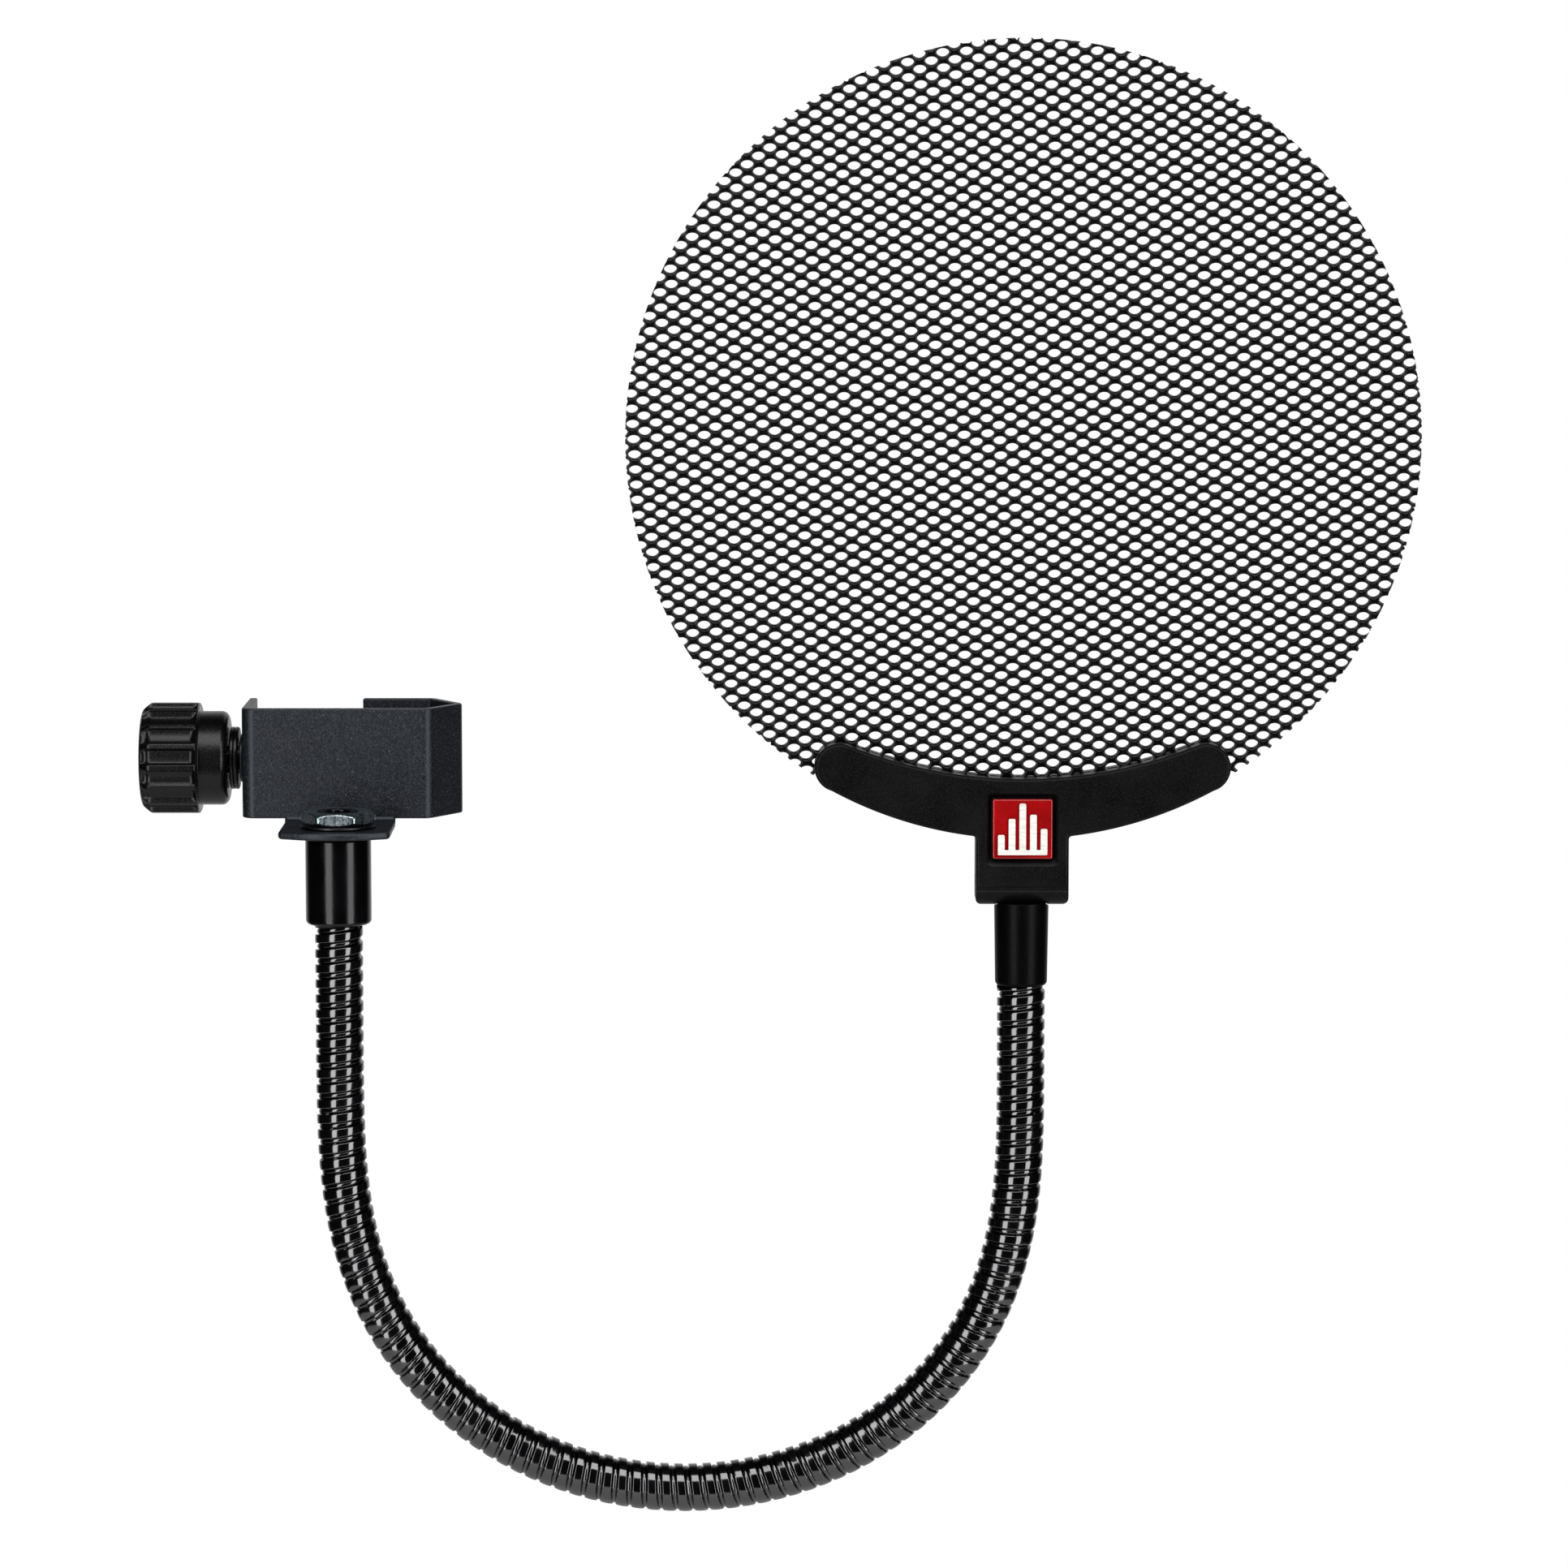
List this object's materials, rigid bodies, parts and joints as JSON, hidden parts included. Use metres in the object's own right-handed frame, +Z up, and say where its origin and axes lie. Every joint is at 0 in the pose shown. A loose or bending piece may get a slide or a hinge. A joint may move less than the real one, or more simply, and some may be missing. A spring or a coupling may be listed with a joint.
{
  "type": "pop filter",
  "caption": "Microphone pop filter: a round perforated metal screen in a tilting yoke on a bent gooseneck, with a sheet-steel screw clamp for a stand tube.",
  "frame": {"origin": "on the axis of the stand tube that the clamp grips, halfway up the clamp", "axes": "+Z up along the stand tube, -Y towards the viewer of the screen's front, +X from the clamp towards the screen"},
  "size_m": [0.2535, 0.0422, 0.2924],
  "materials": {
    "bracket_coat": "satin",
    "ferrule_gloss": "gloss",
    "neck_gloss": "gloss",
    "zinc": "satin",
    "dark_steel": "satin",
    "bright_steel": "satin",
    "knob_plastic": "satin",
    "pad_rubber": "matte",
    "post_black": "matte",
    "yoke_plastic": "matte",
    "washer_nylon": "satin",
    "badge_red": "gloss",
    "emblem_white": "satin",
    "screen_coat": "satin"
  },
  "bodies": {
    "clamp": {"clamp_bracket": "bracket_coat", "threaded_bush": "dark_steel", "neck_base_ferrule": "ferrule_gloss", "neck_nut": "zinc", "neck_washer": "dark_steel", "neck_segment_01": "neck_gloss"},
    "pad": {"pressure_pad": "pad_rubber"},
    "screw": {"clamp_screw": "bright_steel", "clamp_knob": "knob_plastic", "knob_spacer": "knob_plastic"},
    "neck_02": {"neck_segment_02": "neck_gloss"},
    "neck_03": {"neck_segment_03": "neck_gloss"},
    "neck_04": {"neck_segment_04": "neck_gloss"},
    "neck_05": {"neck_segment_05": "neck_gloss"},
    "neck_06": {"neck_segment_06": "neck_gloss"},
    "neck_07": {"neck_segment_07": "neck_gloss"},
    "neck_08": {"neck_segment_08": "neck_gloss"},
    "neck_09": {"neck_segment_09": "neck_gloss"},
    "neck_10": {"neck_segment_10": "neck_gloss"},
    "neck_11": {"neck_segment_11": "neck_gloss"},
    "neck_12": {"neck_segment_12": "neck_gloss"},
    "neck_13": {"neck_segment_13": "neck_gloss"},
    "neck_14": {"neck_segment_14": "neck_gloss"},
    "neck_15": {"neck_segment_15": "neck_gloss"},
    "neck_16": {"neck_segment_16": "neck_gloss"},
    "neck_17": {"neck_segment_17": "neck_gloss"},
    "post": {"neck_segment_18": "neck_gloss", "head_post": "post_black"},
    "head": {"yoke_front": "yoke_plastic", "yoke_back": "yoke_plastic", "yoke_screw_1": "bright_steel", "yoke_screw_2": "bright_steel", "yoke_screw_3": "bright_steel", "hinge_pin": "bright_steel", "hinge_washer_left": "washer_nylon", "hinge_washer_right": "washer_nylon", "badge": "badge_red", "badge_emblem": "emblem_white", "mesh_screen": "screen_coat"}
  },
  "joints": [
    {"name": "neck_sway", "type": "hinge", "parent": "clamp", "child": "neck_02", "pos_m": [-0.0126, -0.0215, -0.04676], "axis": [1, 0, 0], "range_deg": [-10, 10]},
    {"name": "neck_bend_02", "type": "hinge", "parent": "neck_02", "child": "neck_03", "pos_m": [-0.01259, -0.0215, -0.06302], "axis": [0, -1, 0], "range_deg": [-1.7, 0.15]},
    {"name": "neck_bend_03", "type": "hinge", "parent": "neck_03", "child": "neck_04", "pos_m": [-0.01205, -0.0215, -0.07927], "axis": [0, -1, 0], "range_deg": [-7.14, 0.6]},
    {"name": "neck_bend", "type": "hinge", "parent": "neck_04", "child": "neck_05", "pos_m": [-0.00949, -0.0215, -0.09531], "axis": [0, -1, 0], "range_deg": [-20.18, 1.68]},
    {"name": "neck_sway_05", "type": "hinge", "parent": "neck_05", "child": "neck_06", "pos_m": [-0.00353, -0.0215, -0.11039], "axis": [0.8746, 0, 0.4848], "range_deg": [-10.01, 10.01]},
    {"name": "neck_bend_06", "type": "hinge", "parent": "neck_06", "child": "neck_07", "pos_m": [0.00608, -0.0215, -0.12345], "axis": [0, -1, 0], "range_deg": [-21.73, 1.82]},
    {"name": "neck_bend_07", "type": "hinge", "parent": "neck_07", "child": "neck_08", "pos_m": [0.01863, -0.0215, -0.13373], "axis": [0, -1, 0], "range_deg": [-13.9, 1.17]},
    {"name": "neck_bend_08", "type": "hinge", "parent": "neck_08", "child": "neck_09", "pos_m": [0.03329, -0.0215, -0.14069], "axis": [0, -1, 0], "range_deg": [-20.25, 1.7]},
    {"name": "neck_sway_09", "type": "hinge", "parent": "neck_09", "child": "neck_10", "pos_m": [0.04916, -0.0215, -0.14402], "axis": [0.0899, 0, 0.996], "range_deg": [-10.01, 10.01]},
    {"name": "neck_bend_10", "type": "hinge", "parent": "neck_10", "child": "neck_11", "pos_m": [0.06538, -0.0215, -0.14361], "axis": [0, -1, 0], "range_deg": [-19.71, 1.65]},
    {"name": "neck_bend_11", "type": "hinge", "parent": "neck_11", "child": "neck_12", "pos_m": [0.08109, -0.0215, -0.13953], "axis": [0, -1, 0], "range_deg": [-13.54, 1.14]},
    {"name": "neck_bend_12", "type": "hinge", "parent": "neck_12", "child": "neck_13", "pos_m": [0.09539, -0.0215, -0.13189], "axis": [0, -1, 0], "range_deg": [-22.26, 1.86]},
    {"name": "neck_sway_13", "type": "hinge", "parent": "neck_13", "child": "neck_14", "pos_m": [0.10731, -0.0215, -0.12089], "axis": [-0.7696, 0, 0.6385], "range_deg": [-10.01, 10.01]},
    {"name": "neck_bend_14", "type": "hinge", "parent": "neck_14", "child": "neck_15", "pos_m": [0.11586, -0.0215, -0.10712], "axis": [0, -1, 0], "range_deg": [-23.25, 1.95]},
    {"name": "neck_bend_15", "type": "hinge", "parent": "neck_15", "child": "neck_16", "pos_m": [0.12051, -0.0215, -0.09158], "axis": [0, -1, 0], "range_deg": [-11.03, 0.93]},
    {"name": "neck_bend_16", "type": "hinge", "parent": "neck_16", "child": "neck_17", "pos_m": [0.12212, -0.0215, -0.07541], "axis": [0, -1, 0], "range_deg": [-5.44, 0.46]},
    {"name": "neck_sway_17", "type": "hinge", "parent": "neck_17", "child": "post", "pos_m": [0.12229, -0.0215, -0.05915], "axis": [-1, 0, 0], "range_deg": [-10.01, 10.01]},
    {"name": "head_tilt", "type": "hinge", "parent": "post", "child": "head", "pos_m": [0.12229, -0.0215, -0.02179], "axis": [-1, 0, 0], "range_deg": [0, 85]},
    {"name": "pad_travel", "type": "slide", "parent": "clamp", "child": "pad", "axis": [1, 0, 0], "range_m": [-0.018, 0]},
    {"name": "screw_turn", "type": "hinge", "parent": "pad", "child": "screw", "pos_m": [-0.03, 0, 0], "axis": [1, 0, 0], "range_deg": [-6485, 5]}
  ],
  "couplings": [
    {"joint": "neck_bend_02", "follows": "neck_bend", "ratio": 0.08375},
    {"joint": "neck_bend_03", "follows": "neck_bend", "ratio": 0.3536},
    {"joint": "neck_sway_05", "follows": "neck_sway", "ratio": 1},
    {"joint": "neck_bend_06", "follows": "neck_bend", "ratio": 1.0763},
    {"joint": "neck_bend_07", "follows": "neck_bend", "ratio": 0.68829},
    {"joint": "neck_bend_08", "follows": "neck_bend", "ratio": 1.0032},
    {"joint": "neck_sway_09", "follows": "neck_sway", "ratio": 1},
    {"joint": "neck_bend_10", "follows": "neck_bend", "ratio": 0.97625},
    {"joint": "neck_bend_11", "follows": "neck_bend", "ratio": 0.67057},
    {"joint": "neck_bend_12", "follows": "neck_bend", "ratio": 1.1029},
    {"joint": "neck_sway_13", "follows": "neck_sway", "ratio": 1},
    {"joint": "neck_bend_14", "follows": "neck_bend", "ratio": 1.1516},
    {"joint": "neck_bend_15", "follows": "neck_bend", "ratio": 0.54613},
    {"joint": "neck_bend_16", "follows": "neck_bend", "ratio": 0.26901},
    {"joint": "neck_sway_17", "follows": "neck_sway", "ratio": 1},
    {"joint": "screw_turn", "follows": "pad_travel", "rad_per_m": 6283.2}
  ]
}
